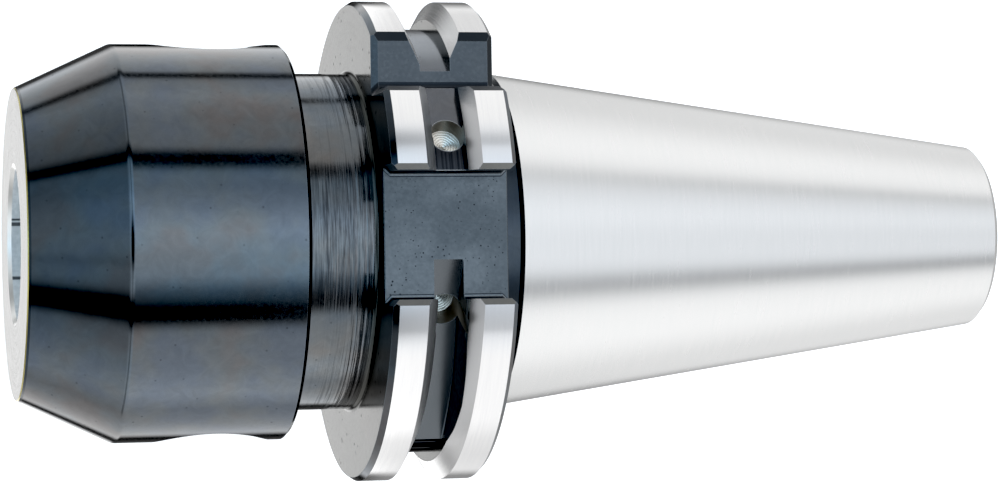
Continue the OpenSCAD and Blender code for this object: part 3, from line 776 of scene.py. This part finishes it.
# Brightness by degrees about the tool axis, from straight up towards +Y: dim ceiling, dark gaps between the soft
# boxes, bright walls, dark floor edge. There is a row for the light that each part of the holder reflects.
bodyLevels = [(-180, 0.08), (-152, 0.0), (-145, 0.62), (-127, 0.51), (-112, 0.47), (-97, 0.81), (-88, 0.71),
              (-78, 0.58), (-60, 0.51), (-53, 0.46), (-46.5, 0.01), (-38.5, 0.0), (-28, 0.30), (-20, 0.73),
              (-8, 0.79), (4, 0.86), (12, 0.73), (20, 0.54), (30, 0.41), (39, 0.43), (44, 0.02), (50, 0.01),
              (55, 0.36), (74, 0.42), (92, 0.58), (106, 0.43), (109, 0.02), (112, 0.02), (115, 0.48),
              (132, 0.61), (150, 0.62), (158, 0.0)]
coneLevels = [(-180, 0.1), (-155, 0.0), (-149, 0.64), (-138, 0.58), (-112, 0.46), (-96, 0.75), (-88, 0.77),
              (-60, 0.66), (-51.5, 0.60), (-45, 0.0), (-32.5, 0.0), (-27, 0.58), (-22, 0.82), (-16, 0.86),
              (-12, 0.70), (-6, 0.95), (2, 0.99), (12, 0.97), (22, 0.88), (30, 0.66), (43, 0.58), (46.5, 0.0),
              (51, 0.0), (57, 0.41), (78, 0.48), (96, 0.58), (105, 0.43), (108.5, 0.05), (112, 0.05),
              (116, 0.52), (146, 0.68), (155, 0.03)]
flangeLevels = [(-180, 0.1), (-158, 0.12), (-146, 0.35), (-126, 0.33), (-112, 0.355), (-104, 0.40), (-96, 0.43),
                (-56, 0.425), (-50, 0.41), (-47.5, 0.38), (-45, 0.26), (-41, 0.27), (-35, 0.29), (-29, 0.34),
                (-20, 0.66), (-8, 0.78), (4, 0.84), (12, 0.74), (20, 0.56), (28, 0.44), (38, 0.39),
                (44.5, 0.38), (45.5, 0.24), (49, 0.27), (53, 0.38), (57, 0.41), (74, 0.42), (118, 0.325),
                (138, 0.325), (147, 0.37), (154, 0.2), (160, 0.08)]
taperLevels = [(-180, 0.24), (-160, 0.26), (-153, 0.40), (-119, 0.43), (-103, 0.50), (-90, 0.55), (-60, 0.54),
               (-52, 0.48), (-46, 0.26), (-43, 0.13), (-36, 0.17), (-29, 0.47), (-20, 0.49), (-10, 0.46),
               (4, 0.445), (16, 0.51), (26, 0.50), (36, 0.45), (44, 0.42), (49, 0.29), (53, 0.27), (57, 0.42),
               (63, 0.53), (80, 0.54), (92, 0.51), (104, 0.45), (118, 0.40), (148, 0.40), (158, 0.24)]
# Colour of the light by the same degrees: white, bluer from the ceiling, and bluest where the cone reflects it
bodyHues = [(-180, "#ffffff"), (-58, "#ffffff"), (-46, "#f5fbff"), (-36, "#c0e4ff"), (-30, "#c0e4ff"),
            (-24, "#cce9ff"), (-12, "#daf0ff"), (0, "#e5f4ff"), (12, "#eef8ff"), (24, "#eaf6ff"),
            (36, "#e1f3ff"), (43, "#cfebff"), (50, "#dcf0ff"), (54, "#ffffff"), (180, "#ffffff")]
coneHues = [(-180, "#ffffff"), (-120, "#ffffff"), (-102, "#fbfdff"), (-90, "#f5fbff"), (-78, "#f1f9ff"),
            (-60, "#e3f3ff"), (-50, "#dff2ff"), (-36, "#d5edff"), (-24, "#d2ecff"), (0, "#d8efff"),
            (12, "#cfebff"), (24, "#cae8ff"), (36, "#c0e4ff"), (48, "#bce2ff"), (53, "#f5fbff"),
            (90, "#f5fbff"), (118, "#fafdff"), (180, "#ffffff")]
flangeHues = [(-180, "#ffffff"), (-60, "#ffffff"), (-30, "#edf5ff"), (35, "#edf5ff"), (60, "#fdfdfd"),
              (110, "#ffffff"), (180, "#ffffff")]
taperHues = [(-180, "#ffffff")]
lightRows = [  # brightness, colour, the X over which the row takes over from those before it, its colour's share
    (bodyLevels, bodyHues, None, 1.0), (flangeLevels, flangeHues, (0.189, 0.196), 1.0),
    (coneLevels, coneHues, (0.1, 0.05), 1.0), (taperLevels, taperHues, (0.27, 0.38), 0.6)]
lightAlong = [(-1.0, 1.0), (-0.85, 0.4), (-0.72, 0.31), (-0.57, 0.55), (-0.40, 0.78), (-0.2, 0.92), (0.15, 1.0),
              (0.5, 1.0), (0.6, 0.91), (1.0, 0.91)]  # brightness by X


def makeFloor():
    material, tree = newMaterial("whitePaperFloor")  # matt white paper, glowing a little so that it stays white
    grain = addNode(tree, "TexNoise", {"Scale": 400.0, "Detail": 2.0})
    tone = fillRamp(addNode(tree, "ValToRGB", {"Fac": grain}), [(0.3, "#f4f4f4"), (0.7, "#f8f8f8")])
    shader = addNode(tree, "BsdfPrincipled", {"Base Color": tone, "Roughness": 0.9, "Emission Color": (1, 1, 1, 1),
                                              "Emission Strength": studio["floorGlow"]})
    addNode(tree, "OutputMaterial", {"Surface": shader})
    size, z = studio["floorSize"], cadBox[0].z - studio["floorDrop"] * mm
    mesh = bpy.data.meshes.new("floor")
    mesh.from_pydata([(-size, -size, z), (size, -size, z), (size, size, z), (-size, size, z)], [], [(0, 1, 2, 3)])
    floor = bpy.data.objects.new("floor", mesh)
    scene.collection.objects.link(floor)
    mesh.materials.append(material)
    floor.visible_glossy = False


def makeWorld():
    # Light by direction, as a tent of soft boxes gives it
    world = bpy.data.worlds.new("studioLight")
    scene.world = world
    world.use_nodes = True
    tree = world.node_tree
    tree.nodes.clear()
    sky = addNode(tree, "TexCoord").outputs["Generated"]
    way = addNode(tree, "SeparateXYZ", {0: sky})
    turn = addNode(tree, "Math", {0: way.outputs["Y"], 1: way.outputs["Z"]}, operation="ARCTAN2")
    askew = addNode(tree, "Math", {0: way.outputs["X"], 1: -studio["leanFrom"]}, operation="ADD")
    askew = addNode(tree, "Math", {0: askew, 1: way.outputs["Y"]}, operation="MULTIPLY")
    angle = addNode(tree, "Math", {0: askew, 1: studio["lean"], 2: turn}, operation="MULTIPLY_ADD")
    angle = addNode(tree, "MapRange", {"Value": angle, "From Min": -math.pi, "From Max": math.pi})
    level = hue = None
    for levels, hues, limits, hueShare in lightRows:
        rowLevel = fillRamp(addNode(tree, "ValToRGB", {"Fac": angle}), levels, -180, 180)
        rowHue = fillRamp(addNode(tree, "ValToRGB", {"Fac": angle}), hues, -180, 180)
        if limits:
            start, full = limits
            comesIn = addNode(tree, "MapRange", {"Value": way.outputs["X"], "From Min": start, "From Max": full})
            rowLevel = addNode(tree, "MixRGB", {"Fac": comesIn, "Color1": level, "Color2": rowLevel})
            comesIn = addNode(tree, "Math", {0: comesIn, 1: hueShare}, operation="MULTIPLY")
            rowHue = addNode(tree, "MixRGB", {"Fac": comesIn, "Color1": hue, "Color2": rowHue})
        level, hue = rowLevel, rowHue
    along = addNode(tree, "MapRange", {"Value": way.outputs["X"], "From Min": -1.0, "From Max": 1.0})
    along = fillRamp(addNode(tree, "ValToRGB", {"Fac": along}), lightAlong, -1, 1)

    eye = -Vector(camera["forward"]).normalized()
    aside = addNode(tree, "Math", {0: way.outputs["X"], 1: eye.x}, operation="SUBTRACT")
    aside = addNode(tree, "Math", {0: aside}, operation="ABSOLUTE")
    near, far = studio["slitHalf"]
    slit = addNode(tree, "MapRange", {"Value": aside, "From Min": near, "From Max": far,
                                      "To Min": studio["slitLight"]})
    below = addNode(tree, "Math", {0: turn}, operation="ABSOLUTE")
    near, far = (math.radians(a) for a in studio["slitEnds"])
    below = addNode(tree, "MapRange", {"Value": below, "From Min": near, "From Max": far})
    slit = addNode(tree, "Math", {0: slit, 1: below}, operation="MAXIMUM")  # the tent's slit for the lens
    fromEye = addNode(tree, "VectorMath", {0: sky, 1: eye}, operation="DISTANCE").outputs["Value"]
    near, far = studio["stand"]
    stand = addNode(tree, "MapRange", {"Value": fromEye, "From Min": near, "From Max": far})  # camera and its stand
    fromPatch = addNode(tree, "VectorMath", {0: sky, 1: studio["patchWay"]}, operation="DISTANCE").outputs["Value"]
    far, near = studio["patchReach"]
    patch = addNode(tree, "MapRange", {"Value": fromPatch, "From Min": far, "From Max": near})  # white floor
    bright = studio["patchLevel"]
    level = addNode(tree, "MixRGB", {"Fac": patch, "Color1": level, "Color2": (bright, bright, bright, 1)})
    strength = addNode(tree, "Math", {0: level, 1: along}, operation="MULTIPLY")
    for factor in (slit, stand, studio["light"]):
        strength = addNode(tree, "Math", {0: strength, 1: factor}, operation="MULTIPLY")
    light = addNode(tree, "Background", {"Color": hue, "Strength": strength})
    white = addNode(tree, "Background", {"Color": (1, 1, 1, 1), "Strength": 1.0})
    seen = addNode(tree, "LightPath").outputs["Is Camera Ray"]
    both = addNode(tree, "MixShader", {0: seen, 1: light, 2: white})
    addNode(tree, "OutputWorld", {"Surface": both})


def makeCamera():
    data = bpy.data.cameras.new("camera")
    data.lens, data.sensor_width = camera["lens"], camera["sensor"]
    data.clip_start, data.clip_end = camera["clip"]
    eye = bpy.data.objects.new("camera", data)
    scene.collection.objects.link(eye)
    forward, up = Vector(camera["forward"]), Vector(camera["up"])
    right = forward.cross(up).normalized()
    up = right.cross(forward).normalized()
    turn = Matrix((right, up, -forward.normalized())).transposed().to_4x4()
    eye.matrix_world = Matrix.Translation(camera["location"]) @ turn
    scene.camera = eye


makeFloor()
makeWorld()
makeCamera()
print("studio set")
